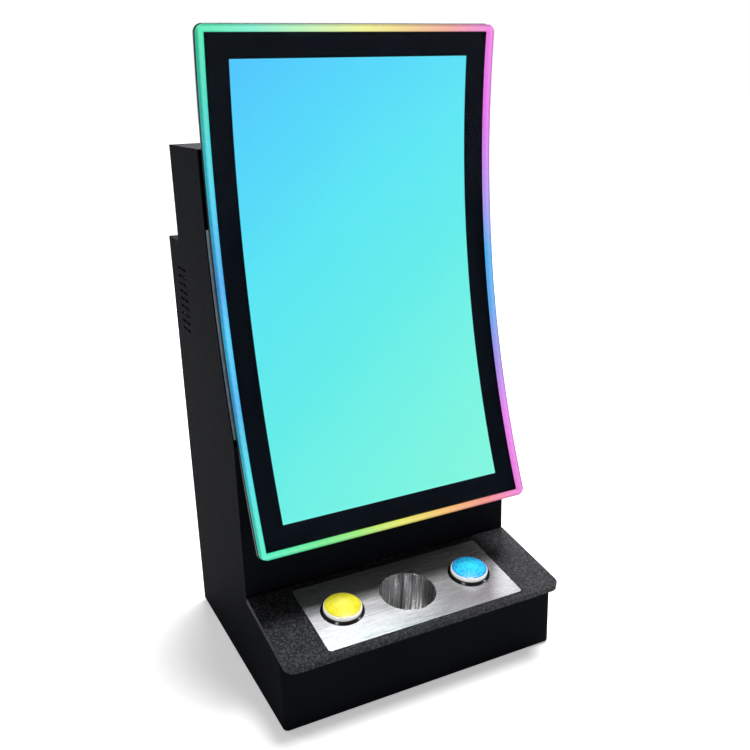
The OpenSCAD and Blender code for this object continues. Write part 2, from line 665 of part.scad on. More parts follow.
// Butt hinges lying on the outside of the panel and the door
module hinge_leaf(side, z, knuckle_low, knuckle_high, bore_r) translate([hinge_x, 0, z]) difference() {
    union() {
        box([side > 0 ? hinge_r + 0.75 : -leaf_reach, rear_y, -hinge_half],
            [side > 0 ? leaf_reach : -hinge_r - 0.75, rear_y + leaf_t, hinge_half]);
        for (k = [0 : len(knuckle_low) - 1]) {
            box([side > 0 ? 0 : -hinge_r - 1, rear_y, knuckle_low[k]],
                [side > 0 ? hinge_r + 1 : 0, rear_y + leaf_t, knuckle_high[k]]);
            translate([0, hinge_y, knuckle_low[k]])
                cylinder(r = hinge_r, h = knuckle_high[k] - knuckle_low[k]);
        }
    }
    translate([0, hinge_y, -hinge_half - 1]) cylinder(r = bore_r, h = 2 * hinge_half + 2);
    for (dz = hinge_screw_zs) translate([side * hinge_screw_x, rear_y - 1, dz]) rotate([-90, 0, 0])
        cylinder(r = screw_r + 0.15, h = 5, $fn = 24);
}
module hinge_frame_leaves() color(steel) for (z = hinge_zs)
    hinge_leaf(1, z, [-hinge_half, knuckle + 0.2], [-knuckle - 0.2, hinge_half], hinge_pin_r + 0.02);
module hinge_door_leaves() color(steel) for (z = hinge_zs)
    hinge_leaf(-1, z, [-knuckle], [knuckle], hinge_pin_r + 0.07);
module hinge_pins() color(steel) for (z = hinge_zs)
    translate([hinge_x, hinge_y, z - hinge_half]) cylinder(r = hinge_pin_r, h = 2 * hinge_half);

plug_r = 6;
barrel_back = rear_y - 22;
module lock_barrel() color("#c9ccd0") translate([lock_x, 0, lock_z]) rotate([-90, 0, 0]) difference() {
    union() {
        translate([0, 0, rear_y]) cylinder(r = 11, h = 2.5);
        translate([0, 0, barrel_back]) cylinder(r = 9.5, h = rear_y - barrel_back + 1);
        translate([0, 0, rear_y - sheet - 5]) cylinder(r = 13, h = 4.9, $fn = 6);
    }
    translate([0, 0, barrel_back - 1]) cylinder(r = plug_r + 0.06, h = 40);
}
cam_len = 40;
module lock_cam() color("#b08d3c") translate([lock_x, 0, lock_z]) rotate([-90, 0, 0]) difference() {
    union() {
        translate([0, 0, barrel_back - 2.4]) cylinder(r = plug_r, h = rear_y + 2.7 - barrel_back + 2.4);
        translate([-7, 0, barrel_back - 2.4]) cube([14, cam_len, 2]);
        translate([0, 0, barrel_back - 2.4]) cylinder(r = 7, h = 2);
        translate([0, 0, barrel_back - 5.4]) cylinder(r = 4.5, h = 3.2, $fn = 6);
    }
    translate([-0.9, -3.6, rear_y + 1]) cube([1.8, 7.2, 3]);
}

// ---------- power entry ----------

module power_inlet() color("#1a1a1a") translate([inlet_x, 0, power_z]) {
    difference() {
        union() {
            box([-20, rear_y, -13], [20, rear_y + 2.2, 13]);
            box([-inlet_body[0] / 2, rear_y - 24, -inlet_body[1] / 2],
                [inlet_body[0] / 2, rear_y + 1, inlet_body[1] / 2]);
        }
        box([-12, rear_y - 17, -8], [12, rear_y + 3, 8]);
    }
    for (i = [-1, 0, 1])
        box([i * 7 - 1, rear_y - 18, i == 0 ? 0.5 : -3.5], [i * 7 + 1, rear_y - 8, i == 0 ? 4.5 : 0.5]);
}
rocker_axis_y = rear_y - 1;
rocker_tilt = 7;
module power_switch() color("#151515") translate([switch_panel_x, 0, power_z]) difference() {
    union() {
        box([-8, rear_y, -11.5], [8, rear_y + 1.8, 11.5]);
        box([-switch_body[0] / 2, rear_y - 20, -switch_body[1] / 2],
            [switch_body[0] / 2, rear_y + 1, switch_body[1] / 2]);
    }
    box([-4.7, rear_y - 12, -8.4], [4.7, rear_y + 3, 8.4]);
    translate([-6, rocker_axis_y, 0]) rotate([0, 90, 0]) cylinder(r = 1.06, h = 12, $fn = 32);
}
module power_rocker() color("#c01818") translate([switch_panel_x, rocker_axis_y, power_z])
    rotate([rocker_tilt, 0, 0]) {
        rotate([90, 0, 90]) translate([0, 0, -4.4]) linear_extrude(8.8)
            polygon([[-6, -1], [-1, -7.6], [4.6, -7.6], [2.6, 0], [4.6, 7.6], [-1, 7.6], [-6, 1]]);
        translate([-5.6, 0, 0]) rotate([0, 90, 0]) cylinder(r = 1, h = 11.2, $fn = 32);
    }

// ---------- fan ----------

fan_y = upper_rear_y - sheet - fan_depth;
blade_count = 7;
module fan_frame() color("#1d1d1f") translate([0, fan_y, fan_z]) rotate([-90, 0, 0]) difference() {
    union() {
        difference() {
            linear_extrude(fan_depth - fit) rounded(fan_size, fan_size, 4);
            translate([0, 0, -1]) cylinder(r = fan_bore_r, h = fan_depth + 2);
        }
        cylinder(r = 17, h = 4);
        for (a = [0 : 90 : 270]) rotate(a + 20) translate([0, -2, 0]) cube([fan_bore_r + 0.5, 4, 3]);
    }
    translate([0, 0, -1]) cylinder(r = 1.56, h = 7, $fn = 32);
    for (sx = [-1, 1], sz = [-1, 1]) translate([sx * fan_screw_at, sz * fan_screw_at, -1])
        cylinder(r = screw_r + 0.15, h = fan_depth + 2, $fn = 24);
}
module fan_rotor() color("#101012") translate([0, fan_y, fan_z]) rotate([-90, 0, 0]) {
    translate([0, 0, 0.5]) cylinder(r = 1.5, h = 8, $fn = 32);
    translate([0, 0, 4.8]) cylinder(r = 17, h = 17);
    intersection() {
        for (i = [0 : blade_count - 1]) rotate(360 / blade_count * i) translate([16, 0, 13])
            rotate([40, 0, 0]) cube([24, 22, 1.4]);
        translate([0, 0, 5]) difference() {
            cylinder(r = fan_bore_r - 1.5, h = 17);
            translate([0, 0, -1]) cylinder(r = 16.5, h = 19);
        }
    }
}
guard_first = 12;               // radius of the smallest ring
guard_step = 9;
guard_wire_r = 0.9;
module fan_guard() color(steel) translate([0, upper_rear_y, fan_z]) rotate([-90, 0, 0]) {
    for (i = [0 : 3]) translate([0, 0, 2.2]) rotate_extrude($fn = 96)
        translate([guard_first + i * guard_step, 0]) circle(guard_wire_r, $fn = 16);
    for (a = [0 : 90 : 270]) rotate(a + 45) translate([11.2, -0.9, 0.8]) cube([35.5, 1.8, 1.4]);
    for (p = fan_screws) translate([p[0], -(p[1] - fan_z), 0.05]) difference() {
        cylinder(r = 4.2, h = 1.5, $fn = 32);
        translate([0, 0, -1]) cylinder(r = screw_r + 0.15, h = 4, $fn = 24);
    }
}

// ---------- electronics ----------

pcb_w = 240;
pcb_h = 128;
pcb_x = -45;
pcb_z = 240;
pcb_y = bracket_y + 10;
board_t = 1.6;
bracket_t = 1.5;
bracket_x = 200;
bracket_z = [168, 312];
spacer_zs = [178, 240];
module board_bracket() color(steel) {
    box([-bracket_x, bracket_y, bracket_z[0]], [bracket_x, bracket_y + bracket_t, bracket_z[1]]);
    for (sx = [-1, 1], z = spacer_zs)
        translate([sx * (bracket_x - 20), apron_y + sheet + fit, z]) rotate([-90, 0, 0])
            cylinder(r = 4, h = bracket_y - apron_y - sheet, $fn = 32);
    for (x = [-1, 1], z = [-1, 1])
        translate([pcb_x + x * (pcb_w / 2 - 6), bracket_y + 1, pcb_z + z * (pcb_h / 2 - 6)])
            rotate([-90, 0, 0]) cylinder(r = 3, h = pcb_y - bracket_y - 1.1, $fn = 24);
}
part_y = board_t - 0.6;         // parts start inside the board, so that they join it
heatsink_fins = 9;
fin_pitch = 6;
heatsink_z = [-20, 30];
socket_pitch = 27;
capacitor_pitch = 13;
module game_board() color(circuit) translate([pcb_x, pcb_y, pcb_z]) {
    box([-pcb_w / 2, 0, -pcb_h / 2], [pcb_w / 2, board_t, pcb_h / 2]);
    box([-30, part_y, heatsink_z[0]], [20, 6, heatsink_z[1]]);
    for (i = [0 : heatsink_fins - 1])
        box([-30 + i * fin_pitch, 5.5, heatsink_z[0]], [-28 + i * fin_pitch, 24, heatsink_z[1]]);
    for (z = [-46, -30]) box([40, part_y, z], [105, 7, z + 6]);
    for (i = [0 : 3]) box([-110, part_y, -52 + i * socket_pitch], [-92, 15, -36 + i * socket_pitch]);
    for (i = [0 : 4]) translate([-70 + i * capacitor_pitch, part_y, -50]) rotate([-90, 0, 0])
        cylinder(r = 4, h = 12, $fn = 32);
    box([50, part_y, 0], [90, 3.2, 40]);
}
psu = [160, 98, 38];
psu_at = [50, 80, foot_h + sheet + 0.2];
module power_supply() color("#c4c7ca") translate(psu_at) difference() {
    union() {
        cube(psu);
        translate([-14, 4, 0]) cube([14.5, psu[1] - 8, 2]);
        translate([-12, 10, 1.5]) cube([12.5, psu[1] - 20, 14]);
    }
    for (i = [0 : 13], j = [0 : 7]) translate([15 + i * 10, 14 + j * 10, psu[2] - 1.2])
        cylinder(r = 2.6, h = 3, $fn = 6);
    for (j = [0 : 7]) translate([-9, 15 + j * 9.2, 8]) cylinder(r = 2.6, h = 10, $fn = 24);
}
amp_x = 150;
amp_z = 245;
amp_fin_pitch = 6.4;
module amplifier() color("#123a5c") translate([amp_x, 0, amp_z]) {
    box([-38, pcb_y, -30], [38, pcb_y + board_t, 30]);
    for (x = [-1, 1], z = [-1, 1])
        translate([x * 33, bracket_y + bracket_t + 0.1, z * 25]) rotate([-90, 0, 0])
            cylinder(r = 2.6, h = pcb_y - bracket_y - bracket_t, $fn = 24);
    box([-30, pcb_y + part_y, 4], [30, pcb_y + 5, 26]);
    for (i = [0 : 9])
        box([-30 + i * amp_fin_pitch, pcb_y + 4.5, 4], [-28 + i * amp_fin_pitch, pcb_y + 20, 26]);
    translate([-8, pcb_y + part_y, -25]) cube([16, 8, 14]);
}

// Round drivers whose rims lie against the inside of the side panels
speaker_half = [[0, 10], [12, 10], [31, 2], [31, 0.5], [34, 0], [40, 0], [40, 3], [34, 3], [22, 20],
    [22, 22], [25, 22], [25, 36], [0, 36]];
module speakers() color("#1b1b1d") for (s = [-1, 1])
    translate([s * (inner_w - fit), speaker_y, speaker_z]) rotate([0, -90 * s, 0])
        rotate_extrude($fn = 96) polygon(speaker_half);

// Wires inside: mains, board supply, screen, and one lead to each button
harness_r = 3;
harness_routes = [
    [[150, 202, 62], [150, 190, 61], [140, 182, 50], [110, 186, 28], [60, 188, 20], [26, 178, 18],
        [20, 150, 20], [28, 130, 22]],
    [[28, 110, 24], [15, 95, 40], [-10, 60, 80], [-30, 20, 130], [-35, -8, 165], [-35, -18, 190]],
    [[-145, -10, 285], [-150, 10, 300], [-140, 35, 340], [-100, 60, 420], [-60, 64, 500], [-30, 60, 580],
        [-22, 50, 620], [-20, 36, 642]],
    [[-119, -139, 84], [-119, -134, 66], [-118, -100, 40], [-125, -40, 60], [-130, 5, 120], [-130, 2, 160],
        [-128, -14, 184]],
    [[119, -139, 84], [119, -134, 66], [100, -100, 36], [20, -40, 40], [-60, 5, 90], [-95, 10, 150],
        [-110, -6, 180]],
];
module cable_harness() color("#2a2c30") for (route = harness_routes)
    tube(smooth(route, 4), harness_r, 8, [0.31, 0.2, 0.93]);

// ---------- fasteners that show ----------

module back_screws(list, y) for (p = list) translate([p[0], y, p[1]]) rotate([-90, 0, 0])
    screw(3.1, 1.8, screw_r, sheet + 6);
module panel_screws() color("#3a3c40") {
    for (sx = [-1, 1], y = foot_ys) translate([sx * foot_x, y, 2]) mirror([0, 0, 1])
        screw(4, 1.5, foot_screw_r, foot_h + sheet + 4);
    back_screws(rear_screws, rear_y + 0.02);
    back_screws(upper_screws, upper_rear_y + 0.02);
    back_screws(hinge_frame_screws, rear_y + leaf_t + 0.02);
    back_screws(fan_screws, upper_rear_y + 1.6);
}
module door_screws() color("#3a3c40") back_screws(hinge_door_screws, rear_y + leaf_t + 0.02);

side_panel_left();
side_panel_right();
base_plate();
console_front();
apron_panel();
top_panel();
upper_rear_panel();
ledge_panel();
rear_panel();
corner_angles();
feet();
deck_lid();
deck_cleats();
button_plate();
plate_nuts();
cup_holder();
yellow_button_bezel();
yellow_button_cap();
yellow_button_lens();
yellow_button_nut();
yellow_button_spring();
yellow_switch();
yellow_switch_lever();
blue_button_bezel();
blue_button_cap();
blue_button_lens();
blue_button_nut();
blue_button_spring();
blue_switch();
blue_switch_lever();
touch_glass();
bezel_mask();
lcd_panel();
backlight_chassis();
light_guide();
led_strip();
monitor_frame();
monitor_cover();
lcd_driver_board();
monitor_rails();
service_door();
hinge_frame_leaves();
hinge_door_leaves();
hinge_pins();
door_screws();
lock_barrel();
lock_cam();
power_inlet();
power_switch();
power_rocker();
fan_frame();
fan_rotor();
fan_guard();
board_bracket();
game_board();
power_supply();
amplifier();
speakers();
cable_harness();
panel_screws();
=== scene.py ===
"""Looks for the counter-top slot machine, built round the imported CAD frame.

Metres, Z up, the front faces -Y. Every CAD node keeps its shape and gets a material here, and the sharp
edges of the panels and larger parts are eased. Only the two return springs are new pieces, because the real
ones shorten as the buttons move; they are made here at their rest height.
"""
import math

import bpy
from mathutils import Matrix, Vector


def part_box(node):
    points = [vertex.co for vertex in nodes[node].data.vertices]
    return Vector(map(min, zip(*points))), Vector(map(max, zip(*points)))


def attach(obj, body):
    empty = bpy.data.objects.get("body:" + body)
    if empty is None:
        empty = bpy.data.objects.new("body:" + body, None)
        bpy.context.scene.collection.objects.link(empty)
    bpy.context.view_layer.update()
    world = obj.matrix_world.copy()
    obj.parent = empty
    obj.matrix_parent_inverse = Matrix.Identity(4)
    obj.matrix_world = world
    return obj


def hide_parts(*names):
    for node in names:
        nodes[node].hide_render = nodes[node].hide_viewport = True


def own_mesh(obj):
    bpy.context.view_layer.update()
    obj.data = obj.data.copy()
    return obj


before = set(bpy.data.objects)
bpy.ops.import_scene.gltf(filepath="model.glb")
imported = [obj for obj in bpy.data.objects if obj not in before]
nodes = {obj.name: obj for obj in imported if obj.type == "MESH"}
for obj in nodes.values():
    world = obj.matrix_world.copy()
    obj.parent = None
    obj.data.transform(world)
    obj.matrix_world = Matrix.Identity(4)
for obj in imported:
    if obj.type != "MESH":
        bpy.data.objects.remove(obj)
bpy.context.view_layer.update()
scene = bpy.context.scene
scene.view_settings.view_transform = "Standard"

MM = 0.001
SCREEN_R = 1.5          # radius of the screen's concave front
LENS_R = 0.0298         # radius of a button's lens
LENS_RING = 0.0019      # width of one moulded ring in it
DECK_SLOPE = math.radians(8.5)
SPRING_R = 7.4 * MM     # return spring, at the middle of its wire
SPRING_WIRE = 0.4 * MM  # radius of the wire
SPRING_H = 7.4 * MM     # over the wire, at rest
SPRING_TURNS = 5

# The photograph's viewpoint: from the player's left and a little above the screen's middle
CAMERA_PLACE = (-0.6077, -1.2950, 0.9458)
CAMERA_AZIMUTH = -0.4537
CAMERA_ELEVATION = 0.3143
CAMERA_ROLL = -0.0293
CAMERA_LENS = 42.77     # mm, for a sensor 36 mm wide

WORLD_SEEN = 1.0        # brightness of the backdrop
WORLD_LIGHT = 0.16      # brightness that it lights the machine with
LAMP_FROM = (0.23, 0.02, 0.95)
LAMP_SPREAD = 20        # degrees
DECK_AIM = (0, -0.15, 0.15)
BACK_AIM = (0, 0.1, 0.45)
FLOOR_SIZE = 60
FLOOR_GLOW = 0.42

# Boards: pitch and width of the copper tracks
TRACK_PITCH = 1.8 * MM
TRACK_W = 0.35 * MM
ROW_PITCH = 4.2 * MM
ROW_W = 0.4 * MM

# Linear colours used more than once
PIN_STEEL = (0.66, 0.67, 0.68)
CONNECTOR_WHITE = (0.62, 0.60, 0.54)
CAPACITOR_BLUE = (0.05, 0.10, 0.30)
CHIP_BLACK = (0.012, 0.012, 0.014)
HEATSINK = (0.32, 0.33, 0.34)


# ---------- camera, light and floor ----------

def make_camera():
    level = math.cos(CAMERA_ELEVATION)
    ahead = Vector((-math.sin(CAMERA_AZIMUTH) * level, math.cos(CAMERA_AZIMUTH) * level,
                    -math.sin(CAMERA_ELEVATION)))
    right = ahead.cross(Vector((0, 0, 1))).normalized()
    up = right.cross(ahead)
    turned_right = right * math.cos(CAMERA_ROLL) + up * math.sin(CAMERA_ROLL)
    turned_up = -right * math.sin(CAMERA_ROLL) + up * math.cos(CAMERA_ROLL)
    data = bpy.data.cameras.new("camera")
    data.sensor_width = 36
    data.lens = CAMERA_LENS
    camera = bpy.data.objects.new("camera", data)
    scene.collection.objects.link(camera)
    camera.matrix_world = Matrix.Translation(CAMERA_PLACE) @ Matrix(
        (turned_right, turned_up, -ahead)).transposed().to_4x4()
    scene.camera = camera


def make_light(name, place, target, width, height, power, only_glossy=False):
    """A softbox: an area light that shows in reflections with its own shape."""
    data = bpy.data.lights.new(name, "AREA")
    data.shape = "RECTANGLE"
    data.size = width
    data.size_y = height
    data.energy = power
    light = bpy.data.objects.new(name, data)
    scene.collection.objects.link(light)
    light.location = place
    light.visible_diffuse = not only_glossy
    light.rotation_euler = (Vector(target) - Vector(place)).to_track_quat("-Z", "Y").to_euler()


def make_lamp(source, spread, strength):
    """An even overhead lamp, as a sun: the floor is as bright far off as near by. Spread is in degrees."""
    data = bpy.data.lights.new("lamp", "SUN")
    data.energy = strength
    data.angle = math.radians(spread)
    lamp = bpy.data.objects.new("lamp", data)
    scene.collection.objects.link(lamp)
    lamp.rotation_euler = Vector(source).to_track_quat("Z", "Y").to_euler()


def make_world():
    """A white backdrop to the eye, and a dimmer one to light the machine, so that black stays black."""
    world = bpy.data.worlds.new("studio")
    scene.world = world
    world.use_nodes = True
    tree = world.node_tree
    background = tree.nodes["Background"]
    background.inputs["Color"].default_value = (1, 1, 1, 1)
    path = tree.nodes.new("ShaderNodeLightPath")
    strength = tree.nodes.new("ShaderNodeMapRange")
    strength.inputs["To Min"].default_value = WORLD_LIGHT
    strength.inputs["To Max"].default_value = WORLD_SEEN
    tree.links.new(path.outputs["Is Camera Ray"], strength.inputs["Value"])
    tree.links.new(strength.outputs["Result"], background.inputs["Strength"])


# ---------- material graphs ----------

class Graph:
    """One material's node graph. A value may be a number, a colour or another node's output."""

    def __init__(self, name, base=(0.5, 0.5, 0.5), roughness=0.5, metallic=0.0, **constants):
        self.material = bpy.data.materials.new(name)
        self.material.use_nodes = True
        self.tree = self.material.node_tree
        self.shader = self.tree.nodes["Principled BSDF"]
        self.set("Base Color", base)
        self.set("Roughness", roughness)
        self.set("Metallic", metallic)
        for socket, value in constants.items():
            self.set(socket.replace("_", " "), value)
        self.place = self.tree.nodes.new("ShaderNodeTexCoord").outputs["Object"]

    def put(self, socket, value):
        if isinstance(value, bpy.types.NodeSocket):
            self.tree.links.new(value, socket)
        elif isinstance(value, (tuple, list)) and len(value) == 3 and socket.type == "RGBA":
            socket.default_value = (*value, 1)
        else:
            socket.default_value = value

    def set(self, socket, value):
        self.put(self.shader.inputs[socket], value)

    def math(self, operation, a, b=0.0, clamp=False):
        node = self.tree.nodes.new("ShaderNodeMath")
        node.operation = operation
        node.use_clamp = clamp
        self.put(node.inputs[0], a)
        self.put(node.inputs[1], b)
        return node.outputs[0]

    def between(self, value, low, high, out_low=0.0, out_high=1.0):
        node = self.tree.nodes.new("ShaderNodeMapRange")
        for socket, number in zip(node.inputs, (value, low, high, out_low, out_high)):
            self.put(socket, number)
        return node.outputs[0]

    def ramp(self, value, stops):
        node = self.tree.nodes.new("ShaderNodeValToRGB")
        elements = node.color_ramp.elements
        while len(elements) < len(stops):
            elements.new(0.5)
        for element, (place, colour) in zip(elements, stops):
            element.position = place
            element.color = (*colour, 1)
        self.put(node.inputs[0], value)
        return node.outputs[0]

    def mix(self, share, a, b):
        node = self.tree.nodes.new("ShaderNodeMix")
        node.data_type = "RGBA"
        self.put(node.inputs["Factor"], share)
        self.put(node.inputs["A"], a)
        self.put(node.inputs["B"], b)
        return node.outputs["Result"]

    def stretched(self, sx, sy, sz):
        node = self.tree.nodes.new("ShaderNodeMapping")
        self.put(node.inputs["Vector"], self.place)
        node.inputs["Scale"].default_value = (sx, sy, sz)
        return node.outputs[0]

    def noise(self, scale, detail=3, where=None):
        node = self.tree.nodes.new("ShaderNodeTexNoise")
        self.put(node.inputs["Vector"], where or self.place)
        node.inputs["Scale"].default_value = scale
        node.inputs["Detail"].default_value = detail
        return node.outputs[0]

    def cells(self, scale, where=None):
        node = self.tree.nodes.new("ShaderNodeTexVoronoi")
        self.put(node.inputs["Vector"], where or self.place)
        node.inputs["Scale"].default_value = scale
        return node.outputs[0]

    def bent(self, amount, scale):
        """The place, pushed about by noise, so that a pattern on it isn't regular."""
        node = self.tree.nodes.new("ShaderNodeVectorMath")
        node.operation = "MULTIPLY_ADD"
        noise = self.tree.nodes.new("ShaderNodeTexNoise")
        noise.inputs["Scale"].default_value = scale
        self.put(noise.inputs["Vector"], self.place)
        self.put(node.inputs[0], noise.outputs["Color"])
        node.inputs[1].default_value = (amount,) * 3
        self.put(node.inputs[2], self.place)
        return node.outputs[0]

    def axes(self):
        node = self.tree.nodes.new("ShaderNodeSeparateXYZ")
        self.put(node.inputs[0], self.place)
        return node.outputs[0], node.outputs[1], node.outputs[2]

    def bump(self, height, strength, depth):
        node = self.tree.nodes.new("ShaderNodeBump")
        node.inputs["Strength"].default_value = strength
        node.inputs["Distance"].default_value = depth
        self.put(node.inputs["Height"], height)
        self.put(self.shader.inputs["Normal"], node.outputs[0])


def srgb(code):
    """Linear colour of a web colour such as 4DC8FA."""
    parts = [int(code[i:i + 2], 16) / 255 for i in (0, 2, 4)]
    return tuple(c / 12.92 if c <= 0.04045 else ((c + 0.055) / 1.055) ** 2.4 for c in parts)


def coated_steel(name, dark, light, roughness, grain, depth):
    """Powder coat: a fine orange peel, faint cloudiness and a little dust."""
    g = Graph(name, Specular_IOR_Level=0.006)
    clouds = g.noise(4, 5)
    g.set("Base Color", g.ramp(clouds, [(0.25, dark), (0.8, light)]))
    g.set("Roughness", g.between(g.noise(60, 3), 0.3, 0.7, roughness - 0.02, roughness + 0.03))
    g.bump(g.noise(grain, 2), 0.22, depth)
    return g.material


def wrinkle_coat():
    """Coarse wrinkle finish of the deck: raised grains a few millimetres across. Painted light: the grain
    tops are lighter than the hollows, with painted highlights (glints) on them.
    """
    g = Graph("deck_wrinkle", Specular_IOR_Level=0.22)
    grains = g.noise(250, 4, g.bent(0.0012, 300))
    fine = g.noise(800, 3)
    # painted light: the raised grains take a lighter base colour than the painted shade of the hollows
    # between them
    raised = g.between(grains, 0.47, 0.60)
    # painted highlights: bright specks on the grain tops, put into the base colour
    painted_glints = g.math("MULTIPLY", g.between(fine, 0.56, 0.66), raised)
    base = g.mix(raised, (0.0050, 0.0054, 0.0072), (0.036, 0.038, 0.046))
    g.set("Base Color", g.mix(painted_glints, base, (0.14, 0.145, 0.165)))
    g.set("Roughness", g.between(fine, 0.3, 0.7, 0.42, 0.62))
    g.bump(g.math("ADD", grains, g.math("MULTIPLY", fine, 0.3)), 1.0, 0.0014)
    return g.material


def brushed(name, colour, along, roughness, anisotropy=0.6, metallic=1.0):
    """Brushed metal: fine scratches that run along one axis, and faint hazy streaks."""
    across_lines = {"x": (0, 1, 0), "y": (1, 0, 0), "z": (1, 0, 0)}[along]

    def stretch(across, with_grain):
        return [with_grain if axis == along else across for axis in "xyz"]

    g = Graph(name, metallic=metallic, Anisotropic=anisotropy)
    grain_way = g.tree.nodes.new("ShaderNodeCombineXYZ")
    for socket, part in zip(grain_way.inputs, across_lines):
        socket.default_value = part
    g.set("Tangent", grain_way.outputs[0])
    scratches = g.noise(1, 2, g.stretched(*stretch(2600, 24)))
    haze = g.noise(1, 4, g.stretched(*stretch(34, 9)))
    tone = g.math("ADD", g.between(scratches, 0.3, 0.7, 0.0, 0.5), g.between(haze, 0.3, 0.7, 0.0, 0.5))
    g.set("Base Color", g.mix(tone, tuple(c * 0.84 for c in colour), colour))
    g.set("Roughness", g.math("ADD", g.between(scratches, 0.3, 0.7, roughness - 0.03, roughness + 0.04),
                              g.between(haze, 0.3, 0.7, -0.02, 0.04)))
    g.bump(scratches, 0.05, 0.0001)
    return g.material


def nickel():
    """Satin nickel of the lock, with faint swirls from buffing."""
    g = Graph("polished_steel", (0.34, 0.34, 0.36), metallic=1.0)
    g.set("Roughness", g.between(g.noise(160, 4), 0.35, 0.7, 0.22, 0.34))
    g.bump(g.noise(900, 2), 0.02, 0.0001)
    return g.material


def drawn_cup():
    """Deep-drawn polished cup, with painted reflections: light and dark stripes run down its wall, each at
    its own angle round the axis.
    """
    low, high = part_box("cup_holder")
    g = Graph("drawn_cup", metallic=1.0)
    x, y, z = g.axes()
    lean = math.tan(DECK_SLOPE)                 # the cup stands square to the deck
    middle = (low + high) / 2
    back = g.math("ADD", g.math("SUBTRACT", y, middle.y),
                  g.math("MULTIPLY", g.math("SUBTRACT", z, middle.z), lean))
    turn = g.math("ARCTAN2", back, x)
    ring = g.tree.nodes.new("ShaderNodeCombineXYZ")
    g.put(ring.inputs[0], g.math("COSINE", turn))
    g.put(ring.inputs[1], g.math("SINE", turn))
    wide_painted_reflections = g.noise(2.6, 1, ring.outputs[0])
    narrow_reflections_and_roughness = g.noise(17, 2, ring.outputs[0])
    # light and dark stripes in the metal's colour: painted reflections of the surroundings in the wall
    tone = g.math("ADD", g.between(wide_painted_reflections, 0.38, 0.62, 0.0, 0.62), g.between(narrow_reflections_and_roughness, 0.35, 0.65, 0.0, 0.38))
    g.set("Base Color", g.ramp(tone, [(0.15, (0.20, 0.20, 0.20)), (0.50, (0.66, 0.66, 0.67)),
                                      (0.85, (0.98, 0.98, 0.99))]))
    g.set("Roughness", g.between(narrow_reflections_and_roughness, 0.3, 0.7, 0.16, 0.30))
    return g.material


def zinc(name, colour):
    """Zinc plating: small crystals of slightly different shine."""
    g = Graph(name, metallic=1.0)
    crystals = g.cells(160)
    g.set("Base Color", g.mix(g.between(crystals, 0.1, 0.8), tuple(c * 0.85 for c in colour), colour))
    g.set("Roughness", g.between(crystals, 0.1, 0.8, 0.28, 0.46))
    g.bump(g.noise(600, 3), 0.08, 0.0001)
    return g.material


def plastic(name, colour, roughness, grain=1600, strength=0.12, **constants):
    """Moulded plastic: a fine spark-eroded grain and faint flow marks."""
    g = Graph(name, **constants)
    flow = g.noise(14, 3)
    g.set("Base Color", g.mix(g.between(flow, 0.3, 0.7), tuple(c * 0.88 for c in colour), colour))
    g.set("Roughness", g.between(g.noise(90, 3), 0.3, 0.7, roughness - 0.04, roughness + 0.06))
    g.bump(g.noise(grain, 2), strength, 0.0002)
    return g.material


def circuit(name, mask_colour, node, board_share, parts):
    """Printed circuit: solder mask over copper tracks.

    What stands higher than board_share of the node's depth takes its colour from parts, a list of
    (place across the board from 0 to 1, colour).
    """
    low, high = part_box(node)
    g = Graph(name, roughness=0.38)
    x, y, z = g.axes()
    wandering = g.math("ADD", x, g.math("MULTIPLY", g.noise(25, 0), 0.03))
    tracks = g.math("LESS_THAN", g.math("PINGPONG", wandering, TRACK_PITCH), TRACK_W)
    rows = g.math("LESS_THAN", g.math("PINGPONG", z, ROW_PITCH), ROW_W)
    copper = g.math("MAXIMUM", tracks, rows)
    board = g.mix(copper, mask_colour, tuple(c * 1.9 + 0.01 for c in mask_colour))
    across = g.between(x, low.x, high.x)
    moulded = g.ramp(across, parts)
    moulded.node.color_ramp.interpolation = "CONSTANT"
    worn = g.mix(g.between(g.noise(300, 3), 0.3, 0.7, 0.0, 0.25), moulded, (0.02, 0.02, 0.02))
    raised = g.math("GREATER_THAN", y, low.y + (high.y - low.y) * board_share)
    g.set("Base Color", g.mix(raised, board, worn))
    g.set("Roughness", g.between(g.noise(120, 3), 0.3, 0.7, 0.32, 0.46))
    g.bump(copper, 0.25, 0.0001)
    return g.material


# ---------- lit surfaces ----------

def arc_place(g):
    """Distance up the screen's curve from its middle, as the light guide measures it."""
    _, y, z = g.axes()
    centre = curve_centre()
    angle = g.math("ARCTAN2", g.math("SUBTRACT", z, centre.z), g.math("SUBTRACT", y, centre.y))
    return g.math("MULTIPLY", angle, SCREEN_R)


def curve_centre():
    """Centre of the screen's curvature: the glass gives the chord between its front corners."""
    points = [v.co for v in nodes["touch_glass"].data.vertices]
    top = max(points, key=lambda p: p.z - 0.2 * p.y)
    bottom = min(points, key=lambda p: (p.y, p.z))
    top, bottom = Vector((0, top.y, top.z)), Vector((0, bottom.y, bottom.z))
    middle, chord = (top + bottom) / 2, top - bottom
    away = Vector((0, -chord.z, chord.y)).normalized()
    return middle + away * math.sqrt(SCREEN_R ** 2 - (chord.length / 2) ** 2)


def picture():
    """Lit picture: a plain colour gradient, sky blue at the top left to mint at the foot."""
    g = Graph("lit_picture", (0, 0, 0), roughness=0.4)
    low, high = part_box("lcd_panel")
    x, _, z = g.axes()
    down = g.between(z, high.z, low.z)
    across = g.between(x, low.x, high.x)
    place = g.math("ADD", g.math("MULTIPLY", down, 0.70), g.math("MULTIPLY", across, 0.30))
    place = g.math("ADD", place, g.between(g.noise(5, 2), 0.3, 0.7, -0.015, 0.015))
    colour = g.ramp(place, [(0.02, srgb("47C4FB")), (0.18, srgb("4DD4F8")), (0.36, srgb("56E4F2")),
                            (0.56, srgb("60EBE9")), (0.80, srgb("76F3E2")), (1.0, srgb("84F6DC"))])
    g.set("Emission Color", colour)
    g.set("Emission Strength", 1.0)
    return g.material


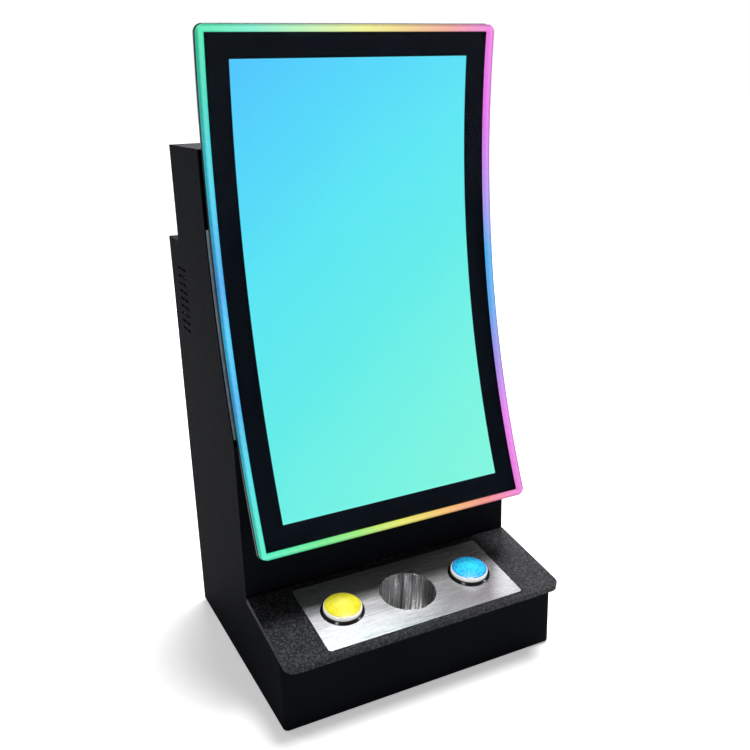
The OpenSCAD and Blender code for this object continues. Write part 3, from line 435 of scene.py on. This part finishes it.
def light_band():
    """Diffuser round the glass: colours that run round it, whiter along its middle."""
    high, glass_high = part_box("light_guide")[1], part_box("touch_glass")[1]
    g = Graph("light_band", (0.004, 0.004, 0.004), roughness=0.5, Specular_IOR_Level=0.05)
    x = g.axes()[0]
    s = arc_place(g)
    centre = curve_centre()
    turns = [math.atan2(v.co.z - centre.z, v.co.y - centre.y) for v in nodes["light_guide"].data.vertices]
    s_low, s_high = SCREEN_R * min(turns), SCREEN_R * max(turns)
    down = g.between(s, s_high, s_low)
    across = g.between(x, -high.x, high.x)
    left = g.ramp(down, [(0.0, srgb("2CF0B0")), (0.14, srgb("22DCC8")), (0.28, srgb("22D8F4")),
                         (0.46, srgb("22A8F4")), (0.56, srgb("26D0FF")), (0.70, srgb("24B4F4")),
                         (0.84, srgb("2CE4EC")), (1.0, srgb("38F4C8"))])
    right = g.ramp(down, [(0.0, srgb("F878E8")), (0.18, srgb("EC70F4")), (0.34, srgb("B494F8")),
                          (0.46, srgb("40B0F4")), (0.58, srgb("5AA8F4")), (0.70, srgb("A890F0")),
                          (0.82, srgb("F080F4")), (1.0, srgb("F478E0"))])
    top = g.ramp(across, [(0.0, srgb("2CF0B0")), (0.16, srgb("78F4D0")), (0.34, srgb("C4F8B8")),
                          (0.52, srgb("F8F890")), (0.68, srgb("F8D488")), (0.84, srgb("F8A49C")),
                          (1.0, srgb("F878E8"))])
    foot = g.ramp(across, [(0.0, srgb("38F4C8")), (0.20, srgb("60F090")), (0.34, srgb("98F070")),
                           (0.50, srgb("ECEC58")), (0.66, srgb("F8C460")), (0.84, srgb("F88C84")),
                           (1.0, srgb("F478E0"))])
    sides = g.mix(g.math("GREATER_THAN", x, 0.0), left, right)
    ends = g.mix(g.math("GREATER_THAN", down, 0.5), top, foot)
    middle_s, half_s = (s_low + s_high) / 2, (s_high - s_low) / 2
    out_x = g.math("SUBTRACT", g.math("ABSOLUTE", x), high.x)
    out_s = g.math("SUBTRACT", g.math("ABSOLUTE", g.math("SUBTRACT", s, middle_s)), half_s)
    colour = g.mix(g.between(g.math("SUBTRACT", out_x, out_s), -0.015, 0.015), ends, sides)
    band = high.x - glass_high.x
    outer = g.math("MAXIMUM", out_x, out_s)
    off_middle = g.math("ABSOLUTE", g.math("ADD", outer, band / 2))
    core = g.between(off_middle, 0.0, band / 2, 0.13, 0.0)
    diodes = g.between(g.math("PINGPONG", g.math("ADD", s, x), 0.008), 0.0, 0.008, 0.0, 0.04)
    lit = g.mix(g.math("ADD", core, diodes, True), colour, (1, 1, 1))
    dim_edge = g.between(outer, -band * 0.32, 0.0, 0.0, 0.50)
    g.set("Emission Color", g.mix(dim_edge, lit, (0.0, 0.02, 0.05)))
    g.set("Emission Strength", 0.96)
    return g.material


def lens(name, middle, code, deep):
    """Translucent dome: prisms moulded under a smooth skin, brightest over the lamp in its middle."""
    low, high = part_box(name)
    g = Graph(name, roughness=0.30, Specular_IOR_Level=0.25, Coat_Weight=0.25, Coat_Roughness=0.03)
    x, y, _ = g.axes()
    dx = g.math("SUBTRACT", x, (low.x + high.x) / 2)
    dy = g.math("SUBTRACT", y, (low.y + high.y) / 2)
    far = g.math("SQRT", g.math("ADD", g.math("MULTIPLY", dx, dx), g.math("MULTIPLY", dy, dy)))
    prisms = g.cells(210, g.bent(0.003, 160))
    cracks = g.between(g.noise(330, 4), 0.44, 0.58)
    rings = g.between(g.math("PINGPONG", far, LENS_RING), 0, LENS_RING)
    pattern = g.math("ADD", g.math("MULTIPLY", prisms, 0.55), g.math("MULTIPLY", cracks, 0.45))
    lit = g.between(far, 0.0, LENS_R * 0.75, 1.0, 0.0)
    colour = g.mix(pattern, srgb(code), srgb(deep))
    colour = g.mix(g.math("MULTIPLY", lit, 0.55), colour, srgb(middle))
    colour = g.mix(g.between(far, LENS_R * 0.86, LENS_R), colour, srgb(deep))
    g.set("Base Color", colour)
    g.set("Emission Color", colour)
    g.set("Emission Strength", 0.42)
    g.bump(g.math("ADD", g.math("MULTIPLY", pattern, 0.6), g.math("MULTIPLY", rings, 0.4)), 0.30, 0.0004)
    return g.material


def lit_cap():
    """White cap, a little translucent, so that the lamp under it shows through its rim."""
    g = Graph("white_cap", roughness=0.25, Specular_IOR_Level=0.4)
    flow = g.between(g.noise(30, 3), 0.3, 0.7)
    colour = g.mix(flow, (0.74, 0.75, 0.72), (0.84, 0.84, 0.81))
    g.set("Base Color", colour)
    g.set("Emission Color", colour)
    g.set("Emission Strength", 0.45)
    g.bump(g.noise(2500, 2), 0.03, 0.0002)
    return g.material


def clear_glass():
    g = Graph("touch_glass", (0.96, 0.99, 0.99), Transmission_Weight=1.0, IOR=1.07)
    g.set("Roughness", g.between(g.noise(18, 4), 0.45, 0.75, 0.0, 0.035))
    return g.material


def black_border():
    g = Graph("printed_border", Specular_IOR_Level=0.015)
    g.set("Roughness", g.between(g.noise(30, 3), 0.3, 0.7, 0.08, 0.14))
    g.set("Base Color", g.ramp(g.noise(1200, 1), [(0.4, (0.0040, 0.0058, 0.0100)),
                                                  (0.7, (0.0060, 0.0085, 0.0140))]))
    return g.material


# ---------- finishes ----------

def paint(material, *names):
    for name in names:
        slots = nodes[name].data.materials
        slots.clear()
        slots.append(material)


def ease_edges(name, width, segments=2, angle=40):
    """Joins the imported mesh's split and coplanar faces, then rounds its sharp edges."""
    part = nodes[name]
    weld = part.modifiers.new("weld", "WELD")
    weld.merge_threshold = 1e-6
    flat = part.modifiers.new("flat", "DECIMATE")
    flat.decimate_type = "DISSOLVE"
    flat.angle_limit = math.radians(0.3)
    bevel = part.modifiers.new("bevel", "BEVEL")
    bevel.width = width
    bevel.segments = segments
    bevel.limit_method = "ANGLE"
    bevel.angle_limit = math.radians(angle)
    bevel.use_clamp_overlap = True
    bevel.harden_normals = True


def finish_parts():
    black = coated_steel("black_powder_coat", (0.0070, 0.0078, 0.0104),
                         (0.0098, 0.0108, 0.0142), 0.58, 1500, 0.0002)
    paint(black, "side_panel_left", "side_panel_right", "base_plate", "console_front", "apron_panel",
          "top_panel", "upper_rear_panel", "ledge_panel", "rear_panel", "service_door", "monitor_cover")
    paint(wrinkle_coat(), "deck_lid")
    paint(brushed("brushed_plate", (0.54, 0.54, 0.56), "x", 0.25, anisotropy=0.9, metallic=0.72),
          "button_plate")
    paint(drawn_cup(), "cup_holder")
    paint(nickel(), "lock_barrel")
    paint(zinc("zinc_plate", (0.50, 0.52, 0.54)), "corner_angles", "deck_cleats", "plate_nuts",
          "monitor_rails", "hinge_frame_leaves", "hinge_door_leaves", "fan_guard", "board_bracket")
    paint(brushed("ground_pin", PIN_STEEL, "z", 0.2), "hinge_pins", "yellow_switch_lever",
          "blue_switch_lever")
    paint(brushed("aluminium_sheet", (0.70, 0.71, 0.72), "z", 0.34), "backlight_chassis", "power_supply")
    paint(zinc("black_oxide", (0.05, 0.05, 0.055)), "panel_screws", "door_screws")
    paint(brushed("brass_cam", (0.60, 0.45, 0.20), "z", 0.3), "lock_cam")
    paint(plastic("black_moulding", (0.010, 0.010, 0.011), 0.42), "monitor_frame", "power_inlet",
          "power_switch", "fan_frame", "fan_rotor", "speakers", "yellow_button_nut", "blue_button_nut")
    paint(plastic("foot_rubber", (0.018, 0.018, 0.018), 0.80, 900, 0.5), "feet")
    paint(plastic("gloss_black", (0.006, 0.006, 0.007), 0.16, 2500, 0.03), "yellow_button_bezel",
          "blue_button_bezel")
    paint(lit_cap(), "yellow_button_cap", "blue_button_cap")
    paint(plastic("red_moulding", (0.42, 0.02, 0.03), 0.40), "yellow_switch", "blue_switch", "power_rocker")
    paint(plastic("cable_jacket", (0.020, 0.021, 0.024), 0.55, 1200, 0.2), "cable_harness")
    paint(plastic("led_tape", (0.80, 0.80, 0.74), 0.5), "led_strip")
    game_parts = [(0.0, CONNECTOR_WHITE), (0.12, CAPACITOR_BLUE), (0.36, HEATSINK), (0.62, CHIP_BLACK)]
    paint(circuit("green_board", (0.010, 0.075, 0.030), "game_board", 0.10, game_parts), "game_board")
    driver_parts = [(0.0, CHIP_BLACK), (0.5, CONNECTOR_WHITE)]
    paint(circuit("driver_board", (0.010, 0.060, 0.026), "lcd_driver_board", 0.55, driver_parts),
          "lcd_driver_board")
    amplifier_parts = [(0.0, HEATSINK), (0.9, HEATSINK)]
    paint(circuit("blue_board", (0.010, 0.040, 0.110), "amplifier", 0.36, amplifier_parts), "amplifier")
    paint(clear_glass(), "touch_glass")
    paint(black_border(), "bezel_mask")
    paint(picture(), "lcd_panel")
    paint(light_band(), "light_guide")
    paint(lens("yellow_button_lens", "F8F27C", "F0EA40", "C8BC10"), "yellow_button_lens")
    paint(lens("blue_button_lens", "3CE8F4", "38D8F8", "0C74C8"), "blue_button_lens")
    for name in ("side_panel_left", "side_panel_right", "base_plate", "apron_panel", "top_panel",
                 "upper_rear_panel", "ledge_panel", "rear_panel", "service_door"):
        ease_edges(name, 0.5 * MM)
    for name in ("console_front", "button_plate", "cup_holder", "hinge_frame_leaves", "hinge_door_leaves",
                 "lock_barrel", "fan_frame", "power_inlet", "power_switch", "power_rocker"):
        ease_edges(name, 0.3 * MM)
    ease_edges("deck_lid", 2.2 * MM, 4)
    ease_edges("monitor_frame", 0.6 * MM, 3)
    ease_edges("monitor_cover", 1.0 * MM, 3)
    ease_edges("light_guide", 4.2 * MM, 6, 50)


def make_spring(button, steel):
    """Return spring of a button: wound wire, half a closed turn at each end, at rest; the real one shortens
    under the cap.
    """
    cad_spring = button + "_button_spring"
    low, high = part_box(cad_spring)
    up = Vector((0, -math.sin(DECK_SLOPE), math.cos(DECK_SLOPE)))
    across = Vector((1, 0, 0))
    along = up.cross(across)
    foot = (low + high) / 2 - up * (SPRING_H / 2)
    steps, sides, closed = SPRING_TURNS * 40, 10, 0.5
    rise = SPRING_H - 2 * SPRING_WIRE
    points, faces = [], []
    for i in range(steps + 1):
        turn = SPRING_TURNS * i / steps
        share = min(max((turn - closed) / (SPRING_TURNS - 2 * closed), 0), 1)
        out = across * math.cos(math.tau * turn) + along * math.sin(math.tau * turn)
        middle = foot + out * SPRING_R + up * (SPRING_WIRE + rise * share)
        for k in range(sides):
            a = math.tau * k / sides
            points.append(middle + (out * math.cos(a) + up * math.sin(a)) * SPRING_WIRE)
    for i in range(steps):
        for k in range(sides):
            a, b = i * sides + k, i * sides + (k + 1) % sides
            faces.append((a, a + sides, b + sides, b))
    faces.append(tuple(range(sides)))
    faces.append(tuple(reversed(range(steps * sides, (steps + 1) * sides))))
    mesh = bpy.data.meshes.new(button + "_return_spring")
    mesh.from_pydata([tuple(p) for p in points], [], faces)
    mesh.shade_smooth()
    spring = bpy.data.objects.new(button + "_return_spring", mesh)
    scene.collection.objects.link(spring)
    mesh.materials.append(steel)
    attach(spring, "cabinet")
    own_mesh(spring)
    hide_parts(cad_spring)


def make_floor():
    bpy.ops.mesh.primitive_plane_add(size=FLOOR_SIZE, location=(0, 0, 0))
    floor = bpy.context.object
    floor.name = "floor"
    g = Graph("floor", roughness=0.6, Specular_IOR_Level=0.1)
    g.set("Base Color", g.ramp(g.noise(3, 2), [(0.3, (0.88, 0.88, 0.88)), (0.7, (0.91, 0.91, 0.91))]))
    # to the eye the floor glows a little, so that shadows on it stay faint; it lights nothing with that
    path = g.tree.nodes.new("ShaderNodeLightPath")
    g.set("Emission Color", (1, 1, 1))
    g.set("Emission Strength", g.math("MULTIPLY", path.outputs["Is Camera Ray"], FLOOR_GLOW))
    floor.data.materials.append(g.material)


make_camera()
make_world()
make_lamp(LAMP_FROM, LAMP_SPREAD, 2.9)
make_light("left_strip", (-1.9, -1.7, 1.7), DECK_AIM, 0.5, 1.6, 22, only_glossy=True)
make_light("right_strip", (2.1, -1.2, 1.8), DECK_AIM, 0.5, 1.6, 22, only_glossy=True)
make_light("back", (1.3, 2.9, 1.9), BACK_AIM, 2.2, 2.2, 80)
make_light("back_left", (-2.2, 2.4, 1.2), BACK_AIM, 0.6, 2.0, 22)
make_floor()
finish_parts()
spring_wire = brushed("spring_wire", PIN_STEEL, "z", 0.2)
for button in ("yellow", "blue"):
    make_spring(button, spring_wire)
